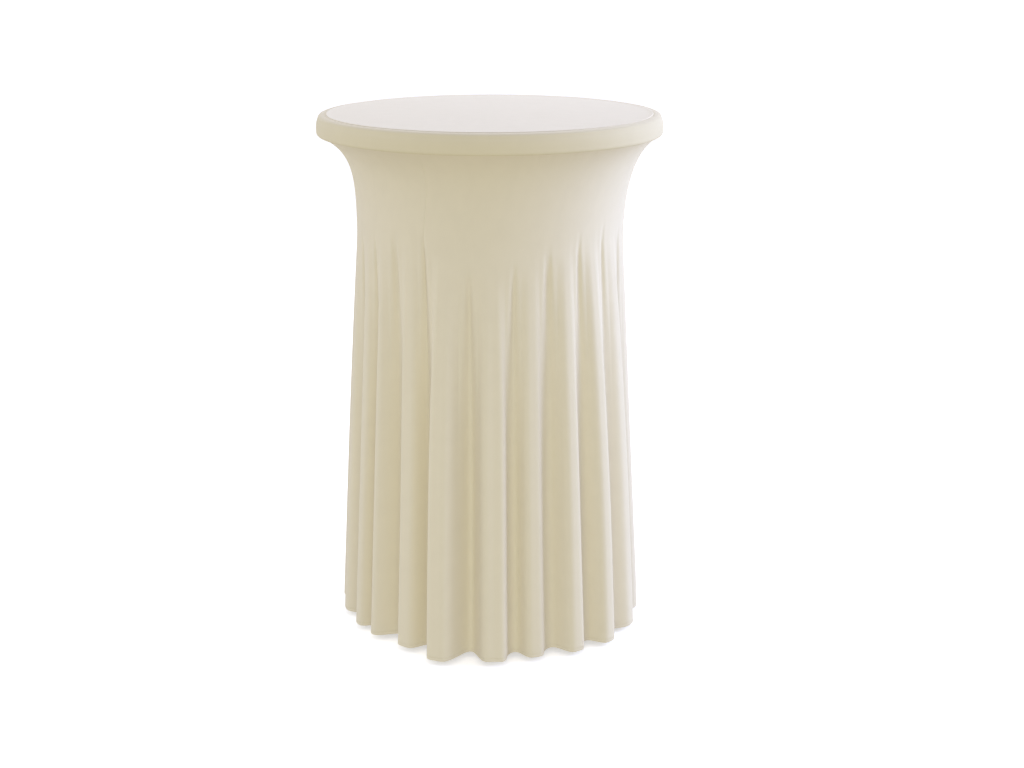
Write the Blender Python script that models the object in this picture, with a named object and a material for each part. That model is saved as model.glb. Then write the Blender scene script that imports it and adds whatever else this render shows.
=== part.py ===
"""A stretch-knit cover with a wavy floor-length skirt, fitted on a round pedestal bar table.

Metres, +Z up. The origin is on the floor under the middle of the table, and the front faces -Y.
Angles of the skirt are measured from the front, positive towards +X.
"""

from math import cos, degrees, pi, radians, sin

import bmesh
import bpy
from mathutils import Vector

# Table top
TABLE_RADIUS = 0.3556  # over the bumper edge, a 28 in top
TABLE_HEIGHT = 1.0922  # floor to the bare top, 43 in
TOP_THICKNESS = 0.038
EDGE_ROUND_ACROSS = 0.0185  # upper rounding of the bumper, in from its outside
EDGE_ROUND_DOWN = 0.016
EDGE_ROUND_BELOW = 0.012  # lower rounding of the bumper
BUMPER_WIDTH = 0.022
TONGUE_LENGTH = 0.012
TONGUE_THICKNESS = 0.003

# Cover
CLOTH = 0.0012
SKIRT_CLOTH = 0.0016  # measured level, so that a steep fold keeps its wall
RIM_SEAM_ANGLE = radians(62)  # how far round the lower rounding the rim band reaches
SEAM_GAP = 0.0012  # the take-up of a sewn joint round the top
PANEL_GAP = 0.0006  # between the two skirt panels at their vertical seams
NECK_LEAVE_IN = 0.044  # the pull of the neck curve's handle where it leaves the rim seam
NECK_LEAVE_DOWN = 0.0295
NECK_ARRIVE_UP = 0.135  # the handle's length where the neck reaches the waist
WAIST_SETBACK = 0.0756  # in from the table's edge
WAIST_DROP = 0.2032  # below the table's underside
HEM_SETBACK = 0.0256  # in from the table's edge, midway between crests and valleys that are even
HEM_CLEARANCE = 0.011  # floor to hem
FOLD_GROWTH = 2.2  # how soon a fold reaches its full depth below the waist
SEAM_ANGLES = (-28.0, 152.0)  # the two vertical seams, degrees from the front
ELASTIC_WIDTH = 0.006
ELASTIC_THICKNESS = 0.0012
ELASTIC_SETBACK = 0.008  # rim seam to the elastic's outside

# Folds at the hem: crest angle, crest beyond the hem radius, valley angle, valley inside it.
FOLDS = (
    (-91, 0.006, -84, 0.028),
    (-76, 0.005, -69, 0.026),
    (-62, 0.002, -56, 0.033),
    (-51, 0.001, -44, 0.044),
    (-35, -0.004, -28, 0.038),
    (-20, 0.021, -9, 0.030),
    (1, 0.008, 10, 0.029),
    (16, 0.001, 25, 0.026),
    (32, 0.013, 39, 0.013),
    (46, 0.023, 53, 0.006),
    (61, 0.015, 69, 0.020),
    (78, 0.001, 86, 0.026),
    (93, 0.001, 101, 0.030),
    (109, 0.010, 118, 0.022),
    (125, 0.005, 132, 0.030),
    (139, 0.012, 148, 0.034),
    (156, 0.015, 164, 0.024),
    (170, 0.003, 177, 0.030),
    (186, 0.010, 194, 0.026),
    (202, 0.007, 208, 0.036),
    (216, 0.014, 225, 0.028),
    (232, 0.001, 238, 0.030),
    (246, 0.008, 254, 0.032),
    (260, 0.005, 266, 0.026),
)

# Pedestal
COLUMN_RADIUS = 0.038
COLUMN_WALL = 0.002
SOCKET_DEPTH = 0.006  # column into the hub and into the spider
HUB_WALL = 0.018  # outside the column
HUB_TOP = 0.088
HUB_BOTTOM = 0.020
HUB_SLOPE_DOWN = 0.012  # the cone at the top of the hub
HUB_SLOPE_IN = 0.009
ARM_ANGLES = (45.0, 135.0, 225.0, 315.0)
PLACES = ("back_right", "back_left", "front_left", "front_right")
FOOT_TO_SKIRT = 0.0254  # free space between a boss and the deepest fold
BOSS_RADIUS = 0.021
BOSS_BOTTOM = 0.0155
BOSS_TOP = 0.040
ARM_ROOT_WIDTH = 0.060
ARM_TIP_WIDTH = 0.034
ARM_TO_HUB_TOP = 0.008  # the arm's root lies this far below the top of the hub
ARM_TIP_TOP = 0.038
ARM_ROOT_BOTTOM = 0.030
ARM_TIP_BOTTOM = 0.018
ARM_ROOT_SUNK = 0.012  # the arm's root runs this far into the hub
ARM_CHAMFER = 0.006

# Spider under the top
SPIDER_HUB_WALL = 0.014  # outside the column
SPIDER_HEIGHT = 0.030
SPIDER_FLOOR = 0.0025  # metal between the column's socket and the nut's pocket
SPIDER_REACH = 0.150
SPIDER_ARM_WIDTH = 0.036
SPIDER_ROOT_SUNK = 0.006
SPIDER_CHAMFER = 0.0005
SPIDER_TIP_THICKNESS = 0.006
SPIDER_ROOT_THICKNESS = 0.018
SCREW_INSETS = {"inner": 0.055, "outer": 0.015}  # in from the end of the arm
SCREW_RADIUS = 0.0025
SCREW_HEAD_RADIUS = 0.005
SCREW_HEAD_HEIGHT = 0.003
SCREW_HEAD_CROWN = 0.0018  # the rounded part of the head
SCREW_HEAD_FLAT = 0.0035  # radius of the head's flat end
SCREW_SEAT_DEPTH = 0.001  # the spot face, measured in from the sloping arm
SCREW_SEAT_CLEARANCE = 0.001
SCREW_BITE = 0.018  # thread length in the core

# Tie rod
ROD_RADIUS = 0.006
NUT_ACROSS_FLATS = 0.019
NUT_HEIGHT = 0.010
WASHER_RADIUS = 0.015
WASHER_THICKNESS = 0.0025
POCKET_CLEARANCE = 0.003  # round the washer
ROD_TAIL = 0.004  # rod beyond each nut

# Levelling feet
PAD_RADIUS = 0.016
PAD_HEIGHT = 0.008
PAD_FLOOR = 0.003  # under the stud
PAD_EDGE = 0.001  # chamfer of the edge that stands on the floor
PAD_SHOULDER = 0.003  # height of the slope up to the neck
PAD_NECK_RADIUS = 0.00992
STUD_RADIUS = 0.004
STUD_TOP = 0.036
TAPPING_SPARE = 0.001  # tapped depth beyond the end of the stud
COLLAR_ACROSS_FLATS = 0.013
COLLAR_HEIGHT = 0.005

# Fits
TOUCH_GAP = 0.0003  # between pieces that touch
THREAD_GAP = 0.0003  # a stud or screw in its plain bore
BORE_GAP = 0.0005  # the tie rod in the hub and the spider
CUTTER_OVERRUN = 0.002  # how far a cutter runs past the face that it opens

# Facets
TURN_STEPS = 48
SMALL_STEPS = 12
PIPE_STEPS = 24
NECK_STEPS = 6
SKIRT_LEVELS = (0.06, 0.18, 0.46, 1.0)  # sections below the waist, as shares of its drop

TABLE_UNDERSIDE = TABLE_HEIGHT - TOP_THICKNESS
CLOTH_OUT = TOUCH_GAP + CLOTH
WAIST_RADIUS = TABLE_RADIUS - WAIST_SETBACK
WAIST_HEIGHT = TABLE_UNDERSIDE - WAIST_DROP
HEM_RADIUS = TABLE_RADIUS - HEM_SETBACK
DEEPEST_VALLEY = max(inwards for _, _, _, inwards in FOLDS)
HUB_RADIUS = COLUMN_RADIUS + HUB_WALL
ARM_ROOT_TOP = HUB_TOP - ARM_TO_HUB_TOP
FOOT_CIRCLE = HEM_RADIUS - DEEPEST_VALLEY - SKIRT_CLOTH - FOOT_TO_SKIRT - BOSS_RADIUS
SPIDER_TOP = TABLE_UNDERSIDE - TOUCH_GAP
SPIDER_BOTTOM = SPIDER_TOP - SPIDER_HEIGHT
SPIDER_HUB_RADIUS = COLUMN_RADIUS + SPIDER_HUB_WALL
SCREW_CIRCLES = {ring: SPIDER_REACH - inset for ring, inset in SCREW_INSETS.items()}
POCKET_RADIUS = WASHER_RADIUS + POCKET_CLEARANCE


def clear_scene():
    for obj in list(bpy.data.objects):
        bpy.data.objects.remove(obj, do_unlink=True)


def material(name, color, roughness, metallic=0.0):
    mat = bpy.data.materials.new(name)
    mat.use_nodes = True
    shader = mat.node_tree.nodes["Principled BSDF"]
    shader.inputs["Base Color"].default_value = (*color, 1.0)
    shader.inputs["Roughness"].default_value = roughness
    shader.inputs["Metallic"].default_value = metallic
    mat.diffuse_color = (*color, 1.0)
    return mat


def solid(name, verts, faces, mat=None):
    """A named object from points and faces, with its faces turned outwards."""
    mesh = bpy.data.meshes.new(name)
    mesh.from_pydata(verts, [], faces)
    if mat:
        mesh.materials.append(mat)
    obj = bpy.data.objects.new(name, mesh)
    bpy.context.scene.collection.objects.link(obj)
    face_outwards(mesh)
    return obj


def face_outwards(mesh):
    bm = bmesh.new()
    bm.from_mesh(mesh)
    bmesh.ops.recalc_face_normals(bm, faces=bm.faces)
    if bm.calc_volume(signed=True) < 0:
        bmesh.ops.reverse_faces(bm, faces=bm.faces)
    bm.to_mesh(mesh)
    bm.free()
    mesh.shade_smooth()
    mesh.set_sharp_from_angle(angle=radians(35))


def turned(name, outline, mat=None, steps=TURN_STEPS, centre=(0.0, 0.0)):
    """A closed outline of (radius, height) points, turned once round the vertical through centre."""
    verts = []
    rings = []
    for radius, height in outline:
        if radius < 1e-7:
            rings.append([len(verts)] * steps)
            verts.append((centre[0], centre[1], height))
            continue
        rings.append(list(range(len(verts), len(verts) + steps)))
        for step in range(steps):
            angle = 2 * pi * step / steps
            x = centre[0] + radius * cos(angle)
            y = centre[1] + radius * sin(angle)
            verts.append((x, y, height))
    faces = []
    for index, ring in enumerate(rings):
        after = rings[(index + 1) % len(rings)]
        for step in range(steps):
            following = (step + 1) % steps
            corners = (ring[step], ring[following], after[following], after[step])
            distinct = list(dict.fromkeys(corners))
            if len(distinct) > 2:
                faces.append(distinct)
    return solid(name, verts, faces, mat)


def prism(name, corners, bottom, top, mat=None):
    """A level outline of (x, y) points, raised from bottom to top."""
    count = len(corners)
    verts = [(x, y, bottom) for x, y in corners] + [(x, y, top) for x, y in corners]
    faces = [tuple(range(count)), tuple(range(count, 2 * count))]
    for index in range(count):
        after = (index + 1) % count
        faces.append((index, after, count + after, count + index))
    return solid(name, verts, faces, mat)


def lofted_bar(name, sections, direction, mat=None):
    """A bar through sections (distance, half width, bottom, top, chamfer) along a level direction."""
    along = Vector((cos(direction), sin(direction), 0))
    side = Vector((-sin(direction), cos(direction), 0))
    verts = []
    for distance, half, bottom, top, chamfer in sections:
        outline = (
            (-half, bottom),
            (half, bottom),
            (half, top - chamfer),
            (half - chamfer, top),
            (chamfer - half, top),
            (-half, top - chamfer),
        )
        for across, height in outline:
            verts.append(along * distance + side * across + Vector((0, 0, height)))
    size = 6
    last = len(verts) - size
    faces = [tuple(range(size)), tuple(range(last, last + size))]
    for start in range(0, last, size):
        for index in range(size):
            after = (index + 1) % size
            faces.append((start + index, start + after, start + size + after, start + size + index))
    return solid(name, verts, faces, mat)


def boolean(target, tools, operation):
    """Joins or cuts the tools with the target, one after another, and removes them."""
    for tool in tools:
        modifier = target.modifiers.new("cut", "BOOLEAN")
        modifier.operation = operation
        modifier.solver = "EXACT"
        modifier.object = tool
        graph = bpy.context.evaluated_depsgraph_get()
        mesh = bpy.data.meshes.new_from_object(target.evaluated_get(graph))
        target.modifiers.clear()
        target.data = mesh
        bpy.data.objects.remove(tool, do_unlink=True)
    face_outwards(target.data)
    return target


def round_outline(radius, bottom, top):
    return [(0, bottom), (radius, bottom), (radius, top), (0, top)]


def polar(distance, angle):
    return distance * cos(radians(angle)), distance * sin(radians(angle))


def hexagon(across_flats, x=0.0, y=0.0):
    reach = across_flats / 2 / cos(pi / 6)
    return [(x + reach * cos(pi / 3 * k), y + reach * sin(pi / 3 * k)) for k in range(6)]


# Table top


def upper_rounding(offset, steps=4):
    """The bumper's upper rounding, from the flat outwards, moved out by offset."""
    middle_r = TABLE_RADIUS - EDGE_ROUND_ACROSS
    middle_z = TABLE_HEIGHT - EDGE_ROUND_DOWN
    points = []
    for step in range(steps + 1):
        turn = pi / 2 * step / steps
        radius = middle_r + (EDGE_ROUND_ACROSS + offset) * sin(turn)
        points.append((radius, middle_z + (EDGE_ROUND_DOWN + offset) * cos(turn)))
    return points


def lower_rounding(offset, turn_end, steps=3):
    """The bumper's lower rounding, from its side inwards, moved out by offset."""
    middle_r = TABLE_RADIUS - EDGE_ROUND_BELOW
    middle_z = TABLE_UNDERSIDE + EDGE_ROUND_BELOW
    reach = EDGE_ROUND_BELOW + offset
    turns = [turn_end * step / steps for step in range(steps + 1)]
    return [(middle_r + reach * cos(turn), middle_z - reach * sin(turn)) for turn in turns]


def bumper_edge(mat):
    """Vinyl bumper round the core, with the tongue that is pressed into the core's groove."""
    inside = TABLE_RADIUS - BUMPER_WIDTH
    middle = TABLE_HEIGHT - TOP_THICKNESS / 2
    half = TONGUE_THICKNESS / 2
    outline = [(inside, TABLE_HEIGHT), *upper_rounding(0), *lower_rounding(0, pi / 2)]
    outline += [
        (inside, TABLE_UNDERSIDE),
        (inside, middle - half),
        (inside - TONGUE_LENGTH, middle - half),
        (inside - TONGUE_LENGTH, middle + half),
        (inside, middle + half),
    ]
    turned("table_edge_bumper", outline, mat)


def table_core(mat):
    """Round board with a groove for the bumper's tongue and pilot holes for the spider's screws."""
    radius = TABLE_RADIUS - BUMPER_WIDTH - TOUCH_GAP
    middle = TABLE_HEIGHT - TOP_THICKNESS / 2
    half = TONGUE_THICKNESS / 2 + TOUCH_GAP
    groove = TABLE_RADIUS - BUMPER_WIDTH - TONGUE_LENGTH - TOUCH_GAP
    outline = [
        (0, TABLE_UNDERSIDE),
        (radius, TABLE_UNDERSIDE),
        (radius, middle - half),
        (groove, middle - half),
        (groove, middle + half),
        (radius, middle + half),
        (radius, TABLE_HEIGHT),
        (0, TABLE_HEIGHT),
    ]
    core = turned("table_core", outline, mat)
    bottom = TABLE_UNDERSIDE - CUTTER_OVERRUN
    pilot = round_outline(SCREW_RADIUS + THREAD_GAP, bottom, screw_tip() + TOUCH_GAP)
    holes = [turned("pilot", pilot, None, SMALL_STEPS // 2, place) for _, _, place in screw_places()]
    boolean(core, holes, "DIFFERENCE")


# Cover


def cover_top_panel(mat):
    radius = TABLE_RADIUS - EDGE_ROUND_ACROSS - SEAM_GAP
    outline = round_outline(radius, TABLE_HEIGHT + TOUCH_GAP, TABLE_HEIGHT + CLOTH_OUT)
    turned("cover_top_panel", outline, mat)


def cover_rim_band(mat):
    """The band of cloth that hugs the bumper, from the top seam round to the rim seam."""
    outer = upper_rounding(CLOTH_OUT) + lower_rounding(CLOTH_OUT, RIM_SEAM_ANGLE)
    inner = upper_rounding(TOUCH_GAP) + lower_rounding(TOUCH_GAP, RIM_SEAM_ANGLE)
    turned("cover_rim_band", outer + inner[::-1], mat)


def rim_seam(offset):
    """The rim band's lower edge, moved out from the bumper by offset, as (radius, height)."""
    return lower_rounding(offset, RIM_SEAM_ANGLE)[-1]


def cover_rim_elastic(mat):
    """Flat elastic sewn to the rim seam, which grips under the table's edge."""
    outside = rim_seam(TOUCH_GAP)[0] - ELASTIC_SETBACK
    inside = outside - ELASTIC_WIDTH
    top = TABLE_UNDERSIDE - TOUCH_GAP
    bottom = top - ELASTIC_THICKNESS
    outline = [(inside, bottom), (outside, bottom), (outside, top), (inside, top)]
    turned("cover_rim_elastic", outline, mat)


def neck_sections():
    """(radius, height, share of fold) of the skirt's outer face, from the rim seam to the waist."""
    seam_r, seam_z = rim_seam(CLOTH_OUT)
    start = Vector((seam_r - SEAM_GAP * sin(RIM_SEAM_ANGLE), seam_z - SEAM_GAP * cos(RIM_SEAM_ANGLE)))
    leave = start + Vector((-NECK_LEAVE_IN, -NECK_LEAVE_DOWN))
    arrive = Vector((WAIST_RADIUS, WAIST_HEIGHT + NECK_ARRIVE_UP))
    end = Vector((WAIST_RADIUS, WAIST_HEIGHT))
    sections = []
    for step in range(NECK_STEPS + 1):
        t = (step / NECK_STEPS) ** 1.2
        s = 1 - t
        point = start * s**3 + leave * 3 * s * s * t + arrive * 3 * s * t * t + end * t**3
        sections.append((point.x, point.y, 0.0))
    return sections


def skirt_sections():
    """The neck's sections, then those of the folded part down to the hem."""
    sections = neck_sections()
    drop = WAIST_HEIGHT - HEM_CLEARANCE
    for share in SKIRT_LEVELS:
        radius = WAIST_RADIUS + (HEM_RADIUS - WAIST_RADIUS) * share
        depth = 1 - (1 - share) ** FOLD_GROWTH
        sections.append((radius, WAIST_HEIGHT - drop * share, depth))
    return sections


def fold_marks():
    """Crests and valleys in turn as (angle, offset from the hem radius), once round and one more."""
    marks = []
    for crest, out, valley, inwards in FOLDS:
        marks += [(crest, out), (valley, -inwards)]
    marks.append((marks[0][0] + 360, marks[0][1]))
    return marks


def fold_offset(angle):
    """How far the hem stands out from the hem radius at an angle, along a wave between the marks."""
    marks = fold_marks()
    angle = (angle - marks[0][0]) % 360 + marks[0][0]
    for (before, low), (after, high) in zip(marks, marks[1:]):
        if before <= angle <= after:
            share = (angle - before) / (after - before)
            return low + (high - low) * (1 - cos(pi * share)) / 2
    return 0.0


def panel_angles(start, end):
    """Angles of a panel's columns: its edges, and each crest, valley and flank between them."""
    gap = degrees(PANEL_GAP / 2 / WAIST_RADIUS)
    marks = [angle for angle, _ in fold_marks()]
    columns = set()
    for before, after in zip(marks, marks[1:]):
        columns |= {before % 360, (before + after) / 2 % 360}
    inside = sorted((angle - start) % 360 + start for angle in columns)
    margin = 1.0
    kept = [angle for angle in inside if start + margin < angle < end - margin]
    return [start + gap, *kept, end - gap]


def wall_normals(sections):
    """Outward direction of the skirt's wall in each section, as (level, upright)."""
    normals = [(cos(RIM_SEAM_ANGLE), -sin(RIM_SEAM_ANGLE))]
    for index in range(1, len(sections)):
        before = sections[index - 1]
        after = sections[min(index + 1, len(sections) - 1)]
        run = Vector((before[0] - after[0], before[1] - after[1])).normalized()
        normals.append((run.y, -run.x))
    return normals


def skirt_panel(name, start, end, mat):
    """One panel of the skirt between two vertical seams, as a folded wall open at the hem."""
    sections = skirt_sections()
    normals = wall_normals(sections)
    angles = panel_angles(start, end)
    columns = len(angles)
    offsets = [fold_offset(angle) for angle in angles]
    verts = []
    for inwards in (0, 1):
        for (radius, height, depth), (level, upright) in zip(sections, normals):
            wall = (CLOTH + (SKIRT_CLOTH - CLOTH) * depth) * inwards
            for angle, offset in zip(angles, offsets):
                reach = radius + depth * offset - wall * level
                x = reach * sin(radians(angle))
                y = -reach * cos(radians(angle))
                verts.append((x, y, height - wall * upright * (1 - depth)))
    rows = len(sections)
    faces = []

    def corner(side, row, column):
        return side * rows * columns + row * columns + column

    def bridge(a, b):
        faces.append((corner(0, *a), corner(0, *b), corner(1, *b), corner(1, *a)))

    for side in (0, 1):
        for row in range(rows - 1):
            for column in range(columns - 1):
                low = corner(side, row, column)
                faces.append((low, low + 1, low + columns + 1, low + columns))
    for column in range(columns - 1):
        bridge((0, column), (0, column + 1))
        bridge((rows - 1, column), (rows - 1, column + 1))
    for row in range(rows - 1):
        bridge((row, 0), (row + 1, 0))
        bridge((row, columns - 1), (row + 1, columns - 1))
    solid(name, verts, faces, mat)


# Pedestal


def screw_places():
    """(name, distance from the middle, level position) of each wood screw."""
    places = []
    for ring, circle in SCREW_CIRCLES.items():
        for place, angle in zip(PLACES, ARM_ANGLES):
            places.append((f"spider_screw_{ring}_{place}", circle, polar(circle, angle)))
    return places


def screw_tip():
    return TABLE_UNDERSIDE + SCREW_BITE


def spider_arm_underside(distance):
    """Height of the spider arm's sloping underside at a distance from the middle."""
    share = distance / SPIDER_REACH
    thickness = SPIDER_ROOT_THICKNESS + (SPIDER_TIP_THICKNESS - SPIDER_ROOT_THICKNESS) * share
    return SPIDER_TOP - thickness


def spider(mat):
    """Cast four-armed bracket under the top, with a pocket for the nut and a socket for the column."""
    ceiling = SPIDER_BOTTOM + SOCKET_DEPTH
    floor = ceiling + SPIDER_FLOOR
    socket = COLUMN_RADIUS + TOUCH_GAP
    outline = [
        (ROD_RADIUS + BORE_GAP, floor),
        (ROD_RADIUS + BORE_GAP, ceiling),
        (socket, ceiling),
        (socket, SPIDER_BOTTOM),
        (SPIDER_HUB_RADIUS, SPIDER_BOTTOM),
        (SPIDER_HUB_RADIUS, SPIDER_TOP),
        (POCKET_RADIUS, SPIDER_TOP),
        (POCKET_RADIUS, floor),
    ]
    hub = turned("top_spider", outline, mat, PIPE_STEPS)
    half = SPIDER_ARM_WIDTH / 2
    stations = (
        (SPIDER_HUB_RADIUS - SPIDER_ROOT_SUNK, half),
        (SPIDER_REACH - half / 2, half),
        (SPIDER_REACH, half / 2),
    )
    sections = []
    for distance, width in stations:
        sections.append((distance, width, spider_arm_underside(distance), SPIDER_TOP, SPIDER_CHAMFER))
    boolean(hub, [lofted_bar("arm", sections, radians(angle)) for angle in ARM_ANGLES], "UNION")
    tools = []
    for _, _, place in screw_places():
        hole = round_outline(SCREW_RADIUS + THREAD_GAP, SPIDER_BOTTOM, SPIDER_TOP + CUTTER_OVERRUN)
        tools.append(turned("hole", hole, None, SMALL_STEPS // 2, place))
    for _, circle, place in screw_places():
        seat = round_outline(SCREW_HEAD_RADIUS + SCREW_SEAT_CLEARANCE, SPIDER_BOTTOM, screw_seat(circle))
        tools.append(turned("seat", seat, None, SMALL_STEPS // 2, place))
    boolean(hub, tools, "DIFFERENCE")


def screw_seat(circle):
    """Height of the level seat that a screw head bears on."""
    return spider_arm_underside(circle) + SCREW_SEAT_DEPTH


def spider_screws(mat):
    """Eight wood screws that hold the spider to the core."""
    for name, circle, place in screw_places():
        head_top = screw_seat(circle) - TOUCH_GAP
        head_end = head_top - SCREW_HEAD_HEIGHT
        outline = [
            (0, head_end),
            (SCREW_HEAD_FLAT, head_end),
            (SCREW_HEAD_RADIUS, head_end + SCREW_HEAD_CROWN),
            (SCREW_HEAD_RADIUS, head_top),
            (SCREW_RADIUS, head_top),
            (SCREW_RADIUS, screw_tip() - SCREW_RADIUS),
            (0, screw_tip()),
        ]
        turned(name, outline, mat, SMALL_STEPS // 2, place)


def column_tube(mat):
    bottom = HUB_TOP - SOCKET_DEPTH + TOUCH_GAP
    top = SPIDER_BOTTOM + SOCKET_DEPTH - TOUCH_GAP
    bore = COLUMN_RADIUS - COLUMN_WALL
    outline = [(bore, bottom), (COLUMN_RADIUS, bottom), (COLUMN_RADIUS, top), (bore, top)]
    turned("column_tube", outline, mat, PIPE_STEPS)


def rod_ends():
    """Heights of the two faces that the tie rod's washers bear on: in the base, then in the spider."""
    below = HUB_BOTTOM + NUT_HEIGHT + WASHER_THICKNESS + ROD_TAIL + 2 * TOUCH_GAP
    above = SPIDER_BOTTOM + SOCKET_DEPTH + SPIDER_FLOOR
    return below, above


def tie_rod(mat):
    below, above = rod_ends()
    stack = WASHER_THICKNESS + NUT_HEIGHT + TOUCH_GAP + ROD_TAIL
    outline = round_outline(ROD_RADIUS, below - stack, above + stack)
    turned("tie_rod", outline, mat, SMALL_STEPS)


def rod_hardware(end, face, side, nut_mat, washer_mat):
    """Washer and nut at one end of the tie rod; side is 1 where they stack upwards from the face."""
    bore = ROD_RADIUS + THREAD_GAP
    near = face + side * TOUCH_GAP
    far = near + side * WASHER_THICKNESS
    low, high = sorted((near, far))
    washer = [(bore, low), (WASHER_RADIUS, low), (WASHER_RADIUS, high), (bore, high)]
    turned(f"tie_rod_washer_{end}", washer, washer_mat, SMALL_STEPS)
    near = far + side * TOUCH_GAP
    far = near + side * NUT_HEIGHT
    low, high = sorted((near, far))
    nut = prism(f"tie_rod_nut_{end}", hexagon(NUT_ACROSS_FLATS), low, high, nut_mat)
    hole = round_outline(bore, low - CUTTER_OVERRUN, high + CUTTER_OVERRUN)
    boolean(nut, [turned("bore", hole, None, SMALL_STEPS)], "DIFFERENCE")


def pedestal_base(mat):
    """Cast base: a hub with four falling arms, each ending in a boss that is tapped for a foot."""
    below, _ = rod_ends()
    socket = COLUMN_RADIUS + TOUCH_GAP
    outline = [
        (ROD_RADIUS + BORE_GAP, HUB_TOP - SOCKET_DEPTH),
        (ROD_RADIUS + BORE_GAP, below),
        (POCKET_RADIUS, below),
        (POCKET_RADIUS, HUB_BOTTOM),
        (HUB_RADIUS, HUB_BOTTOM),
        (HUB_RADIUS, HUB_TOP - HUB_SLOPE_DOWN),
        (HUB_RADIUS - HUB_SLOPE_IN, HUB_TOP),
        (socket, HUB_TOP),
        (socket, HUB_TOP - SOCKET_DEPTH),
    ]
    base = turned("pedestal_base", outline, mat, PIPE_STEPS)
    root = HUB_RADIUS - ARM_ROOT_SUNK
    reach = FOOT_CIRCLE - root
    pieces = []
    for angle in ARM_ANGLES:
        sections = []
        for share in (0.0, 0.3, 0.65, 1.0):
            fall = share ** 0.8
            half = (ARM_ROOT_WIDTH + (ARM_TIP_WIDTH - ARM_ROOT_WIDTH) * share) / 2
            bottom = ARM_ROOT_BOTTOM + (ARM_TIP_BOTTOM - ARM_ROOT_BOTTOM) * fall
            top = ARM_ROOT_TOP + (ARM_TIP_TOP - ARM_ROOT_TOP) * fall
            sections.append((root + reach * share, half, bottom, top, ARM_CHAMFER))
        pieces.append(lofted_bar("arm", sections, radians(angle)))
        boss = round_outline(BOSS_RADIUS, BOSS_BOTTOM, BOSS_TOP)
        pieces.append(turned("boss", boss, None, SMALL_STEPS, polar(FOOT_CIRCLE, angle)))
    boolean(base, pieces, "UNION")
    end = STUD_TOP + TAPPING_SPARE
    tapping = round_outline(STUD_RADIUS + THREAD_GAP, BOSS_BOTTOM - CUTTER_OVERRUN, end)
    holes = [turned("tapping", tapping, None, SMALL_STEPS, polar(FOOT_CIRCLE, a)) for a in ARM_ANGLES]
    boolean(base, holes, "DIFFERENCE")


def foot(place, angle, stud_mat, pad_mat):
    """A levelling foot: a plastic pad and a threaded stud with a hexagonal collar to turn it by."""
    centre = polar(FOOT_CIRCLE, angle)
    bore = STUD_RADIUS + TOUCH_GAP
    pad = [
        (0, 0),
        (PAD_RADIUS - PAD_EDGE, 0),
        (PAD_RADIUS, PAD_EDGE),
        (PAD_RADIUS, PAD_HEIGHT - PAD_SHOULDER),
        (PAD_NECK_RADIUS, PAD_HEIGHT),
        (bore, PAD_HEIGHT),
        (bore, PAD_FLOOR),
        (0, PAD_FLOOR),
    ]
    turned(f"foot_pad_{place}", pad, pad_mat, SMALL_STEPS, centre)
    shank = round_outline(STUD_RADIUS, PAD_FLOOR + TOUCH_GAP, STUD_TOP)
    stud = turned(f"foot_stud_{place}", shank, stud_mat, SMALL_STEPS, centre)
    low = PAD_HEIGHT + TOUCH_GAP
    collar = prism("collar", hexagon(COLLAR_ACROSS_FLATS, *centre), low, low + COLLAR_HEIGHT)
    boolean(stud, [collar], "UNION")


def build():
    clear_scene()
    cloth = material("ivory_stretch_knit", (0.80, 0.75, 0.62), 0.75)
    elastic = material("white_elastic", (0.86, 0.85, 0.82), 0.6)
    vinyl = material("grey_vinyl", (0.10, 0.10, 0.11), 0.5)
    board = material("laminated_board", (0.62, 0.60, 0.56), 0.45)
    iron = material("black_cast_iron", (0.03, 0.03, 0.032), 0.55, 0.3)
    tube = material("black_painted_tube", (0.025, 0.025, 0.028), 0.35)
    zinc = material("zinc_plated_steel", (0.66, 0.67, 0.68), 0.3, 1.0)
    nylon = material("black_nylon", (0.04, 0.04, 0.04), 0.55)

    cover_top_panel(cloth)
    cover_rim_band(cloth)
    cover_rim_elastic(elastic)
    front_seam, back_seam = SEAM_ANGLES
    skirt_panel("skirt_panel_right", front_seam, back_seam, cloth)
    skirt_panel("skirt_panel_left", back_seam, front_seam + 360, cloth)

    table_core(board)
    bumper_edge(vinyl)
    spider(iron)
    spider_screws(zinc)
    column_tube(tube)
    tie_rod(zinc)
    below, above = rod_ends()
    rod_hardware("bottom", below, -1, zinc, zinc)
    rod_hardware("top", above, 1, zinc, zinc)
    pedestal_base(iron)
    for place, angle in zip(PLACES, ARM_ANGLES):
        foot(place, angle, zinc, nylon)


build()
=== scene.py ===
"""The looks of a stretch-knit cover with a wavy floor-length skirt, fitted on a round bar table.

Metres, +Z up. The front faces -Y, and angles round the table run from the front towards +X.
"""

from math import cos, pi, radians, sin

import bpy
import numpy as np
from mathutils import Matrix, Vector


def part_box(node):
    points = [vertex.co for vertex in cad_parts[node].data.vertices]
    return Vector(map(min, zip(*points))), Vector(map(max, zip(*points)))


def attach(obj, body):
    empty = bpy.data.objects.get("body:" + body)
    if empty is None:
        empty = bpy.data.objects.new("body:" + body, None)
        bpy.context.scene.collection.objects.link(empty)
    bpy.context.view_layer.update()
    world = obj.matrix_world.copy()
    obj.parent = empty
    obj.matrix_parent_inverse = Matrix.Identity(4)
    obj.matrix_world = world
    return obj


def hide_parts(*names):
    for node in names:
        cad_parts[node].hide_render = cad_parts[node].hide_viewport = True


bl_info = {
    "name": "Fitted Bar Table Cover",
    "version": (1, 0, 0),
    "blender": (4, 5, 0),
    "location": "View3D > Sidebar > Table Cover",
    "description": "Builds a stretch cover with a wavy skirt over a round pedestal table",
    "category": "Object",
}

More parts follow.
